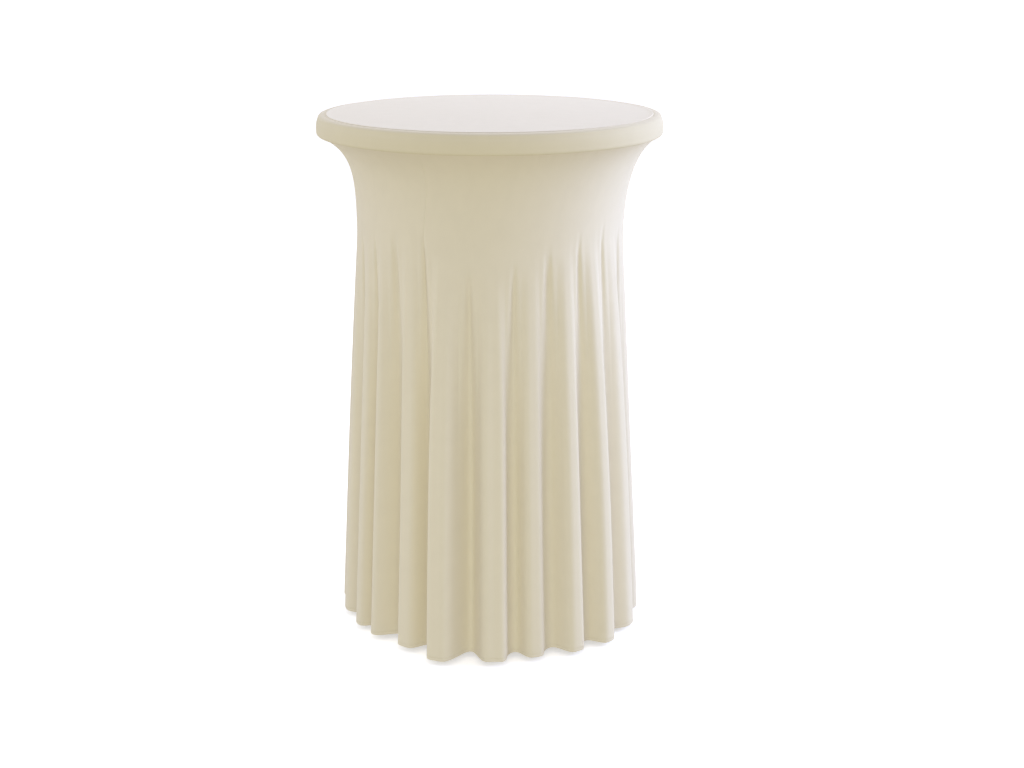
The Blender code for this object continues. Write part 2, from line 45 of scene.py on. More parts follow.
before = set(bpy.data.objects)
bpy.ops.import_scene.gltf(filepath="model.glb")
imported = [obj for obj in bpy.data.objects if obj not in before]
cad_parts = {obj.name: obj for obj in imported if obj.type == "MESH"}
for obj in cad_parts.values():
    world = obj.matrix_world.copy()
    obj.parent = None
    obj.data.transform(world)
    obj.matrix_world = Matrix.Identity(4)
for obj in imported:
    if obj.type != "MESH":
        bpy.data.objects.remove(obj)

TABLE = "covered_table"
PLACES = ("back_right", "back_left", "front_left", "front_right")

# What the frame says about the cover's size.
TOP_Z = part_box("cover_top_panel")[1].z
TOP_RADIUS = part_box("cover_top_panel")[1].x
BAND_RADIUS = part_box("cover_rim_band")[1].x
HEM_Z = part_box("skirt_panel_right")[0].z

KNIT_MAP = "knit"

# The cover's rim, from the top seam to the rim seam: millimetres in from the band's outside and down
# from the top.
RIM = (
    (20.8, 1.5),
    (20.5, 1.0),
    (20.0, 0.7),
    (18.8, 0.5),
    (16.6, 0.4),
    (13.2, 0.6),
    (9.8, 1.2),
    (7.0, 2.3),
    (5.1, 4.0),
    (4.2, 6.3),
    (3.3, 9.5),
    (1.8, 13.2),
    (0.6, 18.5),
    (0.0, 25.0),
    (0.0, 31.0),
    (0.0, 35.5),
    (0.5, 38.0),
    (2.2, 40.2),
    (4.6, 41.2),
    (6.6, 40.8),
    (7.6, 39.6),
)
BAND_WIDTH = 0.062  # flat, from seam to seam

# Where the skirt is sewn on, under the rim.
SEAM_RADIUS = BAND_RADIUS - 0.0066
SEAM_Z = TOP_Z - 0.0399

ROUNDING = 0.0055  # how softly the cloth turns over a fold
EVENING = 0.045  # how far along the cloth the folds even out above the waist
HEM_SAMPLES = 4096  # places along the hem's line
PANEL_COLUMNS = 560
NECK_ROWS = 26  # between the rim seam and the waist
WALL_ROWS = 50  # between the waist and the hem
TWIST = radians(3.6)  # how far the neck of the skirt is turned
PULL = 0.005  # how far the neck is drawn towards +X

# A crease at the bottom of each valley, and how far below the fold's start it is deepest.
CREASE_DEPTH = 0.0035
CREASE_DROP = 0.06

# The columns of cloth that turn in at a vertical seam: how far each is behind the face.
ALLOWANCE = np.array((0.007, 0.004, 0.0018))

# The skirt's folds, once round. Angles are in degrees and offsets in millimetres from the hem's mean
# radius: left shoulder, right shoulder, how far they stand out, how far the cloth between them
# bulges, valley, how far it goes in, and how far below the waist the fold starts.
FOLDS = (
    (-93.0, -88.5, 5, 1.5, -83.5, 28, 10),
    (-79.0, -74.0, 4, 1.5, -69.0, 26, 0),
    (-64.0, -59.5, 1, 1.5, -56.0, 33, -15),
    (-52.5, -49.8, 1, 0.5, -43.5, 44, -10),
    (-38.0, -32.0, -5, 1.0, -27.6, 38, -48),
    (-22.8, -16.5, 21, 0.5, -8.6, 37, 35),
    (-2.8, 4.4, 8, -1.5, 9.6, 32, 35),
    (13.6, 18.6, 0, 1.0, 25.0, 28, 5),
    (29.5, 34.3, 13, 1.0, 39.4, 15, -12),
    (43.2, 48.0, 23, 0.5, 53.0, 8, -28),
    (58.8, 63.8, 15, 1.0, 69.0, 20, -20),
    (75.0, 80.0, 0, 1.0, 85.5, 26, 10),
    (90.5, 95.5, 0, 1.0, 101.0, 30, 0),
    (106.0, 112.5, 10, -1.0, 118.0, 22, 30),
    (123.0, 127.5, 4, 1.5, 131.5, 30, 10),
    (136.5, 142.0, 12, 0.5, 148.0, 34, -10),
    (153.0, 158.0, 14, 1.5, 163.5, 24, 0),
    (168.5, 172.5, 2, 1.5, 177.0, 30, 25),
    (182.0, 189.0, 10, -1.0, 194.5, 26, 40),
    (199.5, 204.0, 6, 1.5, 208.5, 36, 10),
    (213.5, 219.5, 14, 0.0, 225.0, 28, 0),
    (229.5, 233.5, 0, 1.5, 238.0, 30, 15),
    (243.0, 249.0, 8, 0.5, 254.5, 32, 30),
    (258.5, 262.5, 4, 1.5, 266.5, 26, 10),
)


# Settings


class CoverSettings(bpy.types.PropertyGroup):
    """Sizes and colours of the cover."""

    waist_radius: bpy.props.FloatProperty(
        name="Waist radius", description="Where the cover is narrowest", default=0.280, unit="LENGTH"
    )
    waist_height: bpy.props.FloatProperty(
        name="Waist height", description="Where the folds begin", default=0.851, unit="LENGTH"
    )
    hem_radius: bpy.props.FloatProperty(
        name="Hem radius", description="Mean radius of the hem", default=0.330, unit="LENGTH"
    )
    cloth: bpy.props.FloatProperty(
        name="Cloth", description="Thickness of the knit", default=0.0008, unit="LENGTH"
    )
    hem_turning: bpy.props.FloatProperty(
        name="Hem turning", description="Height of the turned hem", default=0.0065, unit="LENGTH"
    )
    front_seam: bpy.props.FloatProperty(
        name="Front seam", description="Vertical seam, from the front", default=radians(-28), subtype="ANGLE"
    )
    stitch: bpy.props.FloatProperty(
        name="Stitch", description="Length of one hem stitch", default=0.003, unit="LENGTH"
    )
    knit_color: bpy.props.StringProperty(
        name="Knit colour", description="Ivory of the knit, as sRGB hex", default="E2DAC5"
    )
    # The band's colour is the knit's ivory made deeper: painted shade for the dimmer light on the rim's
    # face.
    band_painted_shade_color: bpy.props.StringProperty(
        name="Band colour", description="Ivory of the taut band, as sRGB hex", default="DAD1B6"
    )


class StageSettings(bpy.types.PropertyGroup):
    """Floor, light and camera."""

    distance: bpy.props.FloatProperty(
        name="Distance", description="Camera to the table's axis, level", default=3.049, unit="LENGTH"
    )
    height: bpy.props.FloatProperty(
        name="Height", description="Camera above the floor", default=1.441, unit="LENGTH"
    )
    pitch: bpy.props.FloatProperty(
        name="Pitch", description="Camera looking down", default=radians(17.05), subtype="ANGLE"
    )
    yaw: bpy.props.FloatProperty(
        name="Yaw", description="Camera turned right of the table", default=radians(0.86), subtype="ANGLE"
    )
    lens: bpy.props.FloatProperty(
        name="Lens", description="Focal length on a 36 mm sensor", default=51.4, unit="CAMERA"
    )


# Mesh helpers


def linked(name, verts, faces):
    """A smooth mesh object in the scene, from points and faces."""
    mesh = bpy.data.meshes.new(name)
    mesh.from_pydata(np.asarray(verts).tolist(), [], faces)
    mesh.shade_smooth()
    obj = bpy.data.objects.new(name, mesh)
    bpy.context.scene.collection.objects.link(obj)
    return obj


def grid_faces(rows, columns, ring=False):
    """Quads of a closed loop of rows, each a line of columns or a ring."""
    faces = []
    for row in range(rows):
        here = row * columns
        after = (row + 1) % rows * columns
        for column in range(columns if ring else columns - 1):
            beside = (column + 1) % columns
            faces.append((here + column, after + column, after + beside, here + beside))
    return faces


def smooth_step(x):
    x = np.clip(x, 0, 1)
    return x * x * (3 - 2 * x)


def ripple(angle, height, waves, seed):
    """A gentle unevenness from -1 to 1: a few waves round the table that lean as they go up."""
    chance = np.random.default_rng(seed)
    total = np.zeros(np.broadcast(angle, height).shape)
    for _ in range(5):
        count = chance.integers(waves // 2, waves * 2)
        total += np.sin(count * angle + chance.uniform(-8, 8) * height + chance.uniform(0, 2 * pi))
    return total / 5


def closed_spline(points, turn, samples):
    """A centripetal Catmull-Rom line through level points that repeat after a turn."""
    points = np.vstack([points[-1:] - turn, points, points[:2] + turn])
    share = np.linspace(0, 1, samples, endpoint=False)[:, None]
    line = []
    for before, start, end, after in zip(points, points[1:], points[2:], points[3:]):
        a, b, c = (np.sqrt(np.linalg.norm(q - p)) for p, q in ((before, start), (start, end), (end, after)))
        leave = ((start - before) / a - (end - before) / (a + b) + (end - start) / b) * b
        arrive = ((end - start) / b - (after - start) / (b + c) + (after - end) / c) * b
        s = share
        line.append(
            (2 * s**3 - 3 * s**2 + 1) * start
            + (s**3 - 2 * s**2 + s) * leave
            + (3 * s**2 - 2 * s**3) * end
            + (s**3 - s**2) * arrive
        )
    return np.vstack(line)


# Skirt


class Hem:
    """The wavy line of the hem, and what it says about each column of the skirt's cloth."""

    def __init__(self, radius):
        marks = []
        before, depth = FOLDS[-1][4] - 360, FOLDS[-1][5]
        wall_width, wall_drop = 0.4, 0.78
        for left, right, out, bulge, valley, inwards, _ in FOLDS:
            crest = (left + right) / 2
            face = [(left, out), (crest, out + bulge), (right, out)]
            # Towards the sides of the table each fold has one steep wall, on its outer side.
            if crest % 360 > 180:
                face.insert(0, (left - wall_width * (left - before), out - wall_drop * (out + depth)))
            else:
                face.append((right + wall_width * (valley - right), out - wall_drop * (out + inwards)))
            marks += face + [(valley, -inwards)]
            before, depth = valley, inwards
        marks = np.array(marks) * (radians(1) * radius, 0.001)
        line = closed_spline(marks, np.array((2 * pi * radius, 0)), 24)
        line = np.vstack([line, line[:1] + (2 * pi * radius, 0)])
        along = np.concatenate([[0], np.cumsum(np.linalg.norm(np.diff(line, axis=0), axis=1))])
        self.length = along[-1]
        self.along = np.linspace(0, self.length, HEM_SAMPLES, endpoint=False)
        self.angle = self.softened(np.interp(self.along, along, line[:, 0]) / radius, 2 * pi, ROUNDING)
        self.offset = self.softened(np.interp(self.along, along, line[:, 1]), 0, ROUNDING)
        self.even = self.softened(self.angle, 2 * pi, EVENING)
        left, right, out, bulge, valley, inwards, start = np.array(FOLDS).T
        crest = (left + right) / 2
        degree = np.degrees(self.angle)
        high = np.interp(degree, crest, (out + np.maximum(bulge, 0)) / 1000, period=360)
        low = np.interp(degree, valley, -inwards / 1000, period=360)
        self.middle = (high + low) / 2
        self.half = (high - low) / 2
        middles = (crest + valley) / 2
        self.start = np.interp(degree, middles, start / 1000, period=360)

    def softened(self, values, gain, spread):
        """Values along the cloth that gain the same in each turn, with detail finer than spread gone."""
        ramp = gain * self.along / self.length
        frequency = np.fft.rfftfreq(HEM_SAMPLES, self.length / HEM_SAMPLES)
        soft = np.exp(-2 * (pi * frequency * spread) ** 2)
        return np.fft.irfft(np.fft.rfft(values - ramp) * soft, HEM_SAMPLES) + ramp

    def find(self, angle):
        """How far along the cloth the evened angle, in radians, is reached."""
        first = self.even[0]
        angle = (angle - first) % (2 * pi) + first
        return float(np.interp(angle, self.even, self.along))

    def between(self, start, end):
        """How far along the cloth two seams are, the second after the first."""
        first = self.find(start)
        last = self.find(end)
        return first, last + self.length if last < first else last

    def column(self, along):
        """Angle, evened angle, middle, half depth, offset and start of the fold, at places on the cloth."""
        turns = np.floor(along / self.length)
        place = along - turns * self.length
        step = np.append(self.along, self.length)
        columns = []
        for values, extra in ((self.angle, 2 * pi), (self.even, 2 * pi)):
            columns.append(np.interp(place, step, np.append(values, values[0] + extra)) + turns * 2 * pi)
        for values in (self.middle, self.half, self.offset, self.start):
            columns.append(np.interp(place, step, np.append(values, values[0])))
        return columns


def neck_curve(waist_radius, waist_height, t):
    """Radius and height of the skirt between the rim seam and the waist; t runs from 0 to 1."""
    start = np.array((SEAM_RADIUS, SEAM_Z))
    leave = start + (-0.046, -0.030)
    arrive = np.array((waist_radius, waist_height + 0.135))
    end = np.array((waist_radius, waist_height))
    t = np.asarray(t)[:, None]
    s = 1 - t
    point = start * s**3 + leave * 3 * s * s * t + arrive * 3 * s * t * t + end * t**3
    return point[:, 0], point[:, 1]


def skirt_face(hem, settings, along, neck, heights):
    """Points of the skirt's outer face: a row for each step of the neck, then for each height."""
    angle, even, middle, half, offset, start = hem.column(along)
    # From -1 in a valley to 1 on a ridge.
    wave = np.clip((offset - middle) / half, -1.3, 1.3)
    waist = settings.waist_height
    neck_r, neck_z = neck_curve(settings.waist_radius, waist, neck)
    below = (waist - heights) / (waist - HEM_Z)
    wall_r = settings.waist_radius + (settings.hem_radius - settings.waist_radius) * below
    radius = np.concatenate([neck_r, wall_r])[:, None]
    height = np.concatenate([neck_z, heights])[:, None]
    # How deep the folds are: nothing above their start, quickly deeper below it, and full at the hem.
    top = waist - start[None, :]
    drop = np.clip(top - height, 0, 1)
    share = np.clip((top - height) / (top - HEM_Z), 0, 1)
    share = share**2 / (share + 0.006)
    depth = 1 - (1 - np.clip(share, 0, 1)) ** 2.8
    # Near its start a valley is a narrow crease and the ridge beside it is still broad.
    narrow = 1 + np.where(wave < 0, 3.2, 0.4) * np.exp(-drop / 0.1)
    shape = np.sign(wave) * np.abs(wave) ** narrow
    reach = radius + depth * (middle + half * shape)
    # A sharp crease runs down the bottom of each valley near its start.
    crease = np.exp(-((np.clip(wave + 1, 0, 2) / 0.2) ** 2))
    fallen = drop / CREASE_DROP
    reach -= CREASE_DEPTH * crease * fallen * np.exp(1 - fallen)
    # No two folds hang quite alike.
    reach += 0.0009 * depth * ripple(even[None, :], height, 40, 3)
    turn = even + (angle - even) * smooth_step(depth * 1.15)
    turn += 0.0022 * depth * ripple(even[None, :], height * 1.4, 12, 5)
    reach += rim_pucker(even[None, :], height)
    # The cover sits a little twisted, and pulled towards +X between the rim and the waist.
    up = np.clip((height - waist) / (SEAM_Z - waist), 0, 1)
    turn = turn + TWIST * smooth_step(up)
    pulled = PULL * np.sin(pi * up**2.2) ** 0.8
    return np.stack([reach * np.sin(turn) + pulled, -reach * np.cos(turn), height + 0 * reach], -1)


def rim_pucker(angle, height):
    """Small gathers that the elastic at the rim seam leaves in the cloth below it."""
    fade = np.exp(-np.clip(SEAM_Z - height, 0, 1) / 0.012)
    return 0.0004 * fade * ripple(angle, 0 * height, 90, 8) * (1 + ripple(angle, 0 * height, 9, 9))


def normals_of(points):
    """Outward normals of a grid of points whose rows run downwards and columns towards +X."""
    normal = np.cross(np.gradient(points, axis=1), -np.gradient(points, axis=0))
    return normal / np.maximum(np.linalg.norm(normal, axis=-1, keepdims=True), 1e-12)


def panel_heights(settings):
    """Heights of a panel's rows below the neck, closer together at the hem's stitches and edge."""
    turning = HEM_Z + settings.hem_turning
    return np.concatenate([
        np.linspace(settings.waist_height, turning + 0.012, WALL_ROWS),
        turning + np.array((0.005, 0.002, 0.0008, 0.0)),
        HEM_Z + np.array((0.0045, 0.0028, 0.0014, 0.0006)),
    ])


def turned_in(rows, face, normal, gap):
    """The rows with a few more columns at both ends, where the cloth turns in at a vertical seam.

    The gap is how far the turned cloth stays from the seam's plane.
    """
    sides = []
    for edge, beside in ((0, 1), (-1, -2)):
        into = face[:, beside] - face[:, edge]
        shift = into / np.linalg.norm(into, axis=-1, keepdims=True) * gap
        sides.append([face[:, edge] - normal[:, edge] * behind + shift for behind in ALLOWANCE])
    return np.concatenate([np.stack(sides[0], 1), rows, np.stack(sides[1][::-1], 1)], 1)


def end_faces(rows, columns, depth):
    """Faces that close a panel's two ends, between its outer rows and its inner ones."""
    faces = []
    for column in (0, columns - 1):
        line = [row * columns + column for row in range(rows)]
        for row in range(depth + 1):
            other = rows - 1 - row
            if other - row > 1:
                quad = tuple(dict.fromkeys((line[row], line[row + 1], line[other - 1], line[other])))
                faces.append(quad if column else quad[::-1])
    return faces


def skirt_panel(name, hem, settings, start, end):
    """A closed skin of knit between two vertical seams, with its turned hem and seam allowances."""
    cloth = settings.cloth
    turning = HEM_Z + settings.hem_turning
    first, last = hem.between(start, end)
    # Columns stand closer together beside the seams.
    near = np.array((0.0004, 0.0009, 0.0018, 0.003))
    inside = np.linspace(first + 0.005, last - 0.005, PANEL_COLUMNS)
    along = np.concatenate([[first], first + near, inside, last - near[::-1], [last]])
    neck = np.linspace(0, 1, NECK_ROWS)[:-1] ** 1.25
    heights = panel_heights(settings)
    outer = skirt_face(hem, settings, along, neck, heights)
    normal = normals_of(outer)

    # The seams and the hem's stitches sink a little into the face.
    edge = np.minimum(along - first, last - along)
    outer = outer - normal * (0.0005 * np.exp(-((edge / 0.0009) ** 2)))[None, :, None]
    level = np.concatenate([np.full(len(neck), 1.0), heights])
    stitch_line = 0.0004 * np.exp(-(((level - turning) / 0.0009) ** 2))
    outer = outer - normal * stitch_line[:, None, None]

    # Below the stitches the cloth is double.
    wall = np.where(level > turning, cloth, 2 * cloth + 0.0003)
    inner = outer - normal * wall[:, None, None]
    outer_rows = turned_in(outer, outer, normal, 0)
    inner_rows = turned_in(inner, outer, normal, cloth)

    # The hem's edge is round.
    thick = wall[-1]
    bottom_rows = []
    pad = len(ALLOWANCE)
    for share in (1 / 4, 1 / 2, 3 / 4):
        row = outer_rows[-1] * (1 - share) + inner_rows[-1] * share
        row[pad:-pad] = outer[-1] - normal[-1] * thick * (1 - cos(pi * share)) / 2
        row[pad:-pad, 2] -= thick * 0.6 * sin(pi * share)
        bottom_rows.append(row)

    rows = np.concatenate([outer_rows, np.stack(bottom_rows), inner_rows[::-1]])
    count, columns = rows.shape[:2]
    faces = grid_faces(count, columns) + end_faces(count, columns, len(outer_rows))
    obj = linked(name, rows.reshape(-1, 3), faces)
    path = np.linalg.norm(np.diff(outer, axis=0), axis=2).mean(axis=1)
    path = np.concatenate([[0], np.cumsum(path)])
    spread = np.concatenate([first - ALLOWANCE, along, last + ALLOWANCE[::-1]])
    down = np.concatenate([path, [path[-1]] * len(bottom_rows), path[::-1]])
    map_cloth(obj, np.tile(spread, count), np.repeat(down, columns))
    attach(obj, TABLE)
    return obj


def map_cloth(obj, across, down):
    """Lays the knit on a piece: metres across and down the cloth for each of its points."""
    layer = obj.data.uv_layers.new(name=KNIT_MAP)
    loops = np.empty(len(obj.data.loops), np.int32)
    obj.data.loops.foreach_get("vertex_index", loops)
    layer.uv.foreach_set("vector", np.stack([across[loops], down[loops]], 1).astype(np.float32).ravel())


# Top and rim


def turned_skin(name, profile, cloth, steps, unevenness):
    """A closed skin of cloth turned round the table from a profile of (radius, height) of its outer face."""
    profile = np.array(profile)
    angle = np.arange(steps) * 2 * pi / steps
    run = np.gradient(profile, axis=0)
    run /= np.linalg.norm(run, axis=1, keepdims=True)
    out = np.stack([-run[:, 1], run[:, 0]], 1)
    down = np.concatenate([[0], np.cumsum(np.linalg.norm(np.diff(profile, axis=0), axis=1))])
    rows = []
    for skin in (0, 1):
        lift = unevenness(angle[None, :], down[:, None]) - skin * cloth
        radius = profile[:, :1] + out[:, :1] * lift
        height = profile[:, 1:] + out[:, 1:] * lift
        grid = np.stack([radius * np.sin(angle), -radius * np.cos(angle), height + 0 * radius], -1)
        rows.append(grid if skin == 0 else grid[::-1])
    rows = np.concatenate(rows)
    obj = linked(name, rows.reshape(-1, 3), grid_faces(len(rows), steps, ring=True))
    across = np.tile(angle * profile[:, 0].max(), len(rows))
    map_cloth(obj, across, np.repeat(np.concatenate([down, down[::-1]]), steps))
    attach(obj, TABLE)
    return obj


def top_profile():
    """The flat top, a low ridge over the seam allowance, and the edge that dives into the seam."""
    radii = (0.0001, 0.0004, 0.001, 0.003, *np.linspace(0.01, TOP_RADIUS - 0.016, 12))
    # Metres in from the top's edge, and up.
    rise = ((0.012, 0), (0.009, 0.0001), (0.006, 0.0004), (0.0035, 0.0008), (0.0018, 0.0008))
    dive = ((0.0008, 0.0004), (0.0003, -0.0002), (0.0001, -0.0009), (0.0003, -0.0014))
    edge = [(TOP_RADIUS + 0.001 - back, TOP_Z + up) for back, up in rise + dive]
    return [(radius, TOP_Z) for radius in radii] + edge


def band_profile():
    """The band from the top seam over the table's edge to the rim seam, where it rolls under."""
    place = np.linspace(0, 1, 58) ** 0.9 * (len(RIM) - 1)
    line = np.stack([np.interp(place, np.arange(len(RIM)), values) for values in zip(*RIM)], 1)
    for _ in range(2):
        line[1:-1] = (line[:-2] + 2 * line[1:-1] + line[2:]) / 4
    return [(BAND_RADIUS - back / 1000, TOP_Z - drop / 1000) for back, drop in line]


def band_unevenness(angle, down):
    """Small gathers near the rim seam, from the pull of the elastic, and a slow waver all over."""
    low = np.exp(-(((BAND_WIDTH - down) / 0.007) ** 2))
    return 0.00025 * low * ripple(angle, 0 * down, 90, 8) + 0.0002 * ripple(angle, 0 * down, 5, 2)


def top_unevenness(angle, down):
    """A waver of the stretched top that fades towards its middle."""
    far = smooth_step(down / 0.33)
    return 0.0002 * far * ripple(angle, down, 4, 6)


def hem_stitches(name, hem, settings, start, end):
    """Thread of the hem's straight stitch: for each stitch a bar, square across and pointed at its ends."""
    first, last = hem.between(start, end)
    count = int((last - first) / settings.stitch)
    along = np.linspace(first + 0.002, last - 0.002, 2 * count)
    turning = HEM_Z + settings.hem_turning
    face = skirt_face(hem, settings, along, np.zeros(0), np.array((turning, turning - 0.0004)))
    points = face[0]
    normal = normals_of(face)[0]
    verts = []
    faces = []
    radius = 0.00028
    up = np.array((0, 0, radius))
    reach = 0.62  # of a stitch, each way: the bars nearly meet
    for stitch in range(count):
        a, b = points[2 * stitch], points[2 * stitch + 1]
        out = normal[2 * stitch]
        middle = (a + b) / 2 + out * radius
        half = (b - a) * reach
        base = len(verts)
        verts += [middle - half - out * radius, middle + half - out * radius]
        verts += [middle + out * radius * 0.6, middle + up, middle - out * radius, middle - up]
        for side in range(4):
            after = (side + 1) % 4
            faces.append((base, base + 2 + side, base + 2 + after))
            faces.append((base + 1, base + 2 + after, base + 2 + side))
    obj = linked(name, np.array(verts), faces)
    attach(obj, TABLE)
    return obj


# Materials


def linear(hex_color):
    """An sRGB hex colour as linear RGBA."""
    values = [int(hex_color[k : k + 2], 16) / 255 for k in (0, 2, 4)]
    return (*[v / 12.92 if v <= 0.04045 else ((v + 0.055) / 1.055) ** 2.4 for v in values], 1)


def new_material(name, hex_color, roughness, **sockets):
    """A material with one Principled shader, whose colour, roughness and other sockets are set on it."""
    mat = bpy.data.materials.new(name)
    mat.use_nodes = True
    shader = mat.node_tree.nodes["Principled BSDF"]
    shader.inputs["Base Color"].default_value = linear(hex_color)
    shader.inputs["Roughness"].default_value = roughness
    for socket, value in sockets.items():
        shader.inputs[socket.replace("_", " ")].default_value = value
    mat.diffuse_color = linear(hex_color)
    return mat, mat.node_tree, shader


def node(tree, kind, inputs=(), **settings):
    """Adds a node with its settings; inputs pairs each socket with a value or another node's output."""
    made = tree.nodes.new(kind)
    for name, value in settings.items():
        setattr(made, name, value)
    for socket, value in inputs:
        if isinstance(value, bpy.types.NodeSocket):
            tree.links.new(value, made.inputs[socket])
        else:
            made.inputs[socket].default_value = value
    return made


def place_of(tree, stretch=(1, 1, 1)):
    """Where on the piece, in metres, each point is; stretch scales the three ways."""
    place = node(tree, "ShaderNodeTexCoord").outputs["Object"]
    return node(tree, "ShaderNodeMapping", (("Vector", place), ("Scale", stretch))).outputs[0]


def noise(tree, place, scale, detail=2):
    """A noise texture's value: scale is how many times it repeats in a metre."""
    return node(
        tree, "ShaderNodeTexNoise", (("Vector", place), ("Scale", scale), ("Detail", detail))
    ).outputs["Fac"]


def colour_between(tree, shader, factor, low, high):
    """Links a mix of two hex colours to the shader's base colour."""
    mix = node(tree, "ShaderNodeMix", ((0, factor), (6, linear(low)), (7, linear(high))), data_type="RGBA")
    tree.links.new(mix.outputs[2], shader.inputs["Base Color"])


def roughness_between(tree, shader, factor, low, high):
    """Links a texture's value to the shader's roughness."""
    gloss = node(tree, "ShaderNodeMapRange", (("Value", factor), ("To Min", low), ("To Max", high)))
    tree.links.new(gloss.outputs[0], shader.inputs["Roughness"])


def relief(tree, shader, height, depth, strength):
    """Links a height texture, depth metres deep, to the shader's normal."""
    bump = node(tree, "ShaderNodeBump", (("Strength", strength), ("Distance", depth), ("Height", height)))
    tree.links.new(bump.outputs["Normal"], shader.inputs["Normal"])


def knit(name, color):
    """Warp-knit polyester and elastane, brushed dull: no gloss, and a faint fuzz at grazing angles."""
    if name in bpy.data.materials:
        return bpy.data.materials[name]
    mat, tree, shader = new_material(
        name, color, 0.78, Specular_IOR_Level=0.25, Sheen_Weight=0.18, Sheen_Roughness=0.45
    )
    place = node(tree, "ShaderNodeUVMap", uv_map=KNIT_MAP).outputs["UV"]
    # Real wales are 0.4 mm apart; they are drawn at 1.2 mm so that they show close up.
    wales = node(
        tree,
        "ShaderNodeTexWave",
        (("Vector", place), ("Scale", 2 * pi / 20 / 0.0012), ("Distortion", 0.6), ("Detail", 1.0)),
        bands_direction="X",
    ).outputs["Fac"]
    courses = node(
        tree,
        "ShaderNodeTexWave",
        (("Vector", place), ("Scale", 2 * pi / 20 / 0.0009), ("Distortion", 0.4)),
        bands_direction="Y",
    ).outputs["Fac"]
    loops = node(tree, "ShaderNodeMath", ((0, wales), (1, courses)), operation="MULTIPLY").outputs[0]
    relief(tree, shader, loops, 0.0002, 0.25)
    # Cloudy dye and stretch: a few per cent lighter and darker, 40 mm across.
    clouds = noise(tree, place, 25, 2)
    shade = linear(color)
    low, high = ((*[c * share for c in shade[:3]], 1) for share in (0.97, 1.02))
    mix = node(tree, "ShaderNodeMix", ((0, clouds), (6, low), (7, high)), data_type="RGBA")
    tree.links.new(mix.outputs[2], shader.inputs["Base Color"])
    return mat


def sewing_thread():
    """Spun polyester thread in the cloth's colour: a little smoother than the knit, so its bars show."""
    name = "ivory_spun_thread"
    if name in bpy.data.materials:
        return bpy.data.materials[name]
    return new_material(name, "DED5BC", 0.6, Sheen_Weight=0.2)[0]


def braided_elastic():
    """Braided elastic, rubber cores under polyester yarn: matt white with fine slanting ribs."""
    mat, tree, shader = new_material("white_braided_elastic", "ECEAE2", 0.8, Sheen_Weight=0.3)
    place = place_of(tree, (1, 1, 2))
    # Yarns cross every 1.5 mm.
    ribs = node(
        tree,
        "ShaderNodeTexWave",
        (("Vector", place), ("Scale", 2 * pi / 20 / 0.0015), ("Distortion", 1.5)),
        bands_direction="DIAGONAL",
    ).outputs["Fac"]
    colour_between(tree, shader, ribs, "D9D6CB", "F2F0E9")
    relief(tree, shader, ribs, 0.0003, 0.6)
    return mat


def chipboard():
    """Pressed chipboard under a melamine film: pale brown chips, 4 mm long, sealed and dull."""
    mat, tree, shader = new_material("melamine_faced_chipboard", "B79A6E", 0.55)
    chips = node(tree, "ShaderNodeTexVoronoi", (("Vector", place_of(tree)), ("Scale", 1 / 0.004)))
    grey = node(tree, "ShaderNodeSeparateColor", ((0, chips.outputs["Color"]),)).outputs[0]
    colour_between(tree, shader, grey, "A58657", "CDB48A")
    relief(tree, shader, chips.outputs["Distance"], 0.0001, 0.4)
    return mat


def extruded_vinyl():
    """Extruded flexible vinyl: black, softly shiny, with the faint lines of the die along its length."""
    mat, tree, shader = new_material("black_extruded_vinyl", "1F1E1D", 0.42)
    lines = noise(tree, place_of(tree, (1, 1, 40)), 25)
    roughness_between(tree, shader, lines, 0.36, 0.5)
    relief(tree, shader, lines, 0.0001, 0.5)
    return mat


def powder_coated_iron():
    """Sand-cast iron under black powder coat: soft pits of the sand's grain below an orange-peel skin."""
    mat, tree, shader = new_material("black_powder_coated_cast_iron", "17181A", 0.5)
    place = place_of(tree)
    # Foundry sand leaves grain of about 0.5 mm, drawn at 1.2 mm; the powder flows out in cells of 2.4 mm.
    sand = noise(tree, place, 1 / 0.0012, 3)
    peel = node(tree, "ShaderNodeTexVoronoi", (("Vector", place), ("Scale", 1 / 0.0024))).outputs["Distance"]
    skin = node(tree, "ShaderNodeMath", ((0, sand), (1, peel)), operation="ADD").outputs[0]
    relief(tree, shader, skin, 0.0002, 0.5)
    colour_between(tree, shader, noise(tree, place, 14, 4), "121315", "1F2022")
    return mat


def painted_steel():
    """Rolled steel tube with a sprayed black enamel: smooth, a little glossier than the castings."""
    mat, tree, shader = new_material("black_sprayed_steel_tube", "151617", 0.36, Coat_Weight=0.2)
    drawn = noise(tree, place_of(tree, (1, 1, 0.12)), 160)
    roughness_between(tree, shader, drawn, 0.3, 0.42)
    relief(tree, shader, drawn, 0.00005, 0.4)
    return mat


def zinc_plate():
    """Machined steel with bright zinc plate: silver, cloudy where the passivation is thicker."""
    mat, tree, shader = new_material("zinc_plated_steel", "C3C6C8", 0.34, Metallic=1.0)
    cloud = noise(tree, place_of(tree), 220, 3)
    colour_between(tree, shader, cloud, "B4B8BC", "D2D1C8")
    roughness_between(tree, shader, cloud, 0.26, 0.44)
    return mat


def moulded_nylon():
    """Injection-moulded nylon: near black and even, with the mould's fine spark texture."""
    mat, tree, shader = new_material("black_moulded_nylon", "232324", 0.48)
    spark = noise(tree, place_of(tree), 1 / 0.0008)
    relief(tree, shader, spark, 0.0001, 0.35)
    colour_between(tree, shader, spark, "1F1F20", "28282A")
    return mat


# Stage


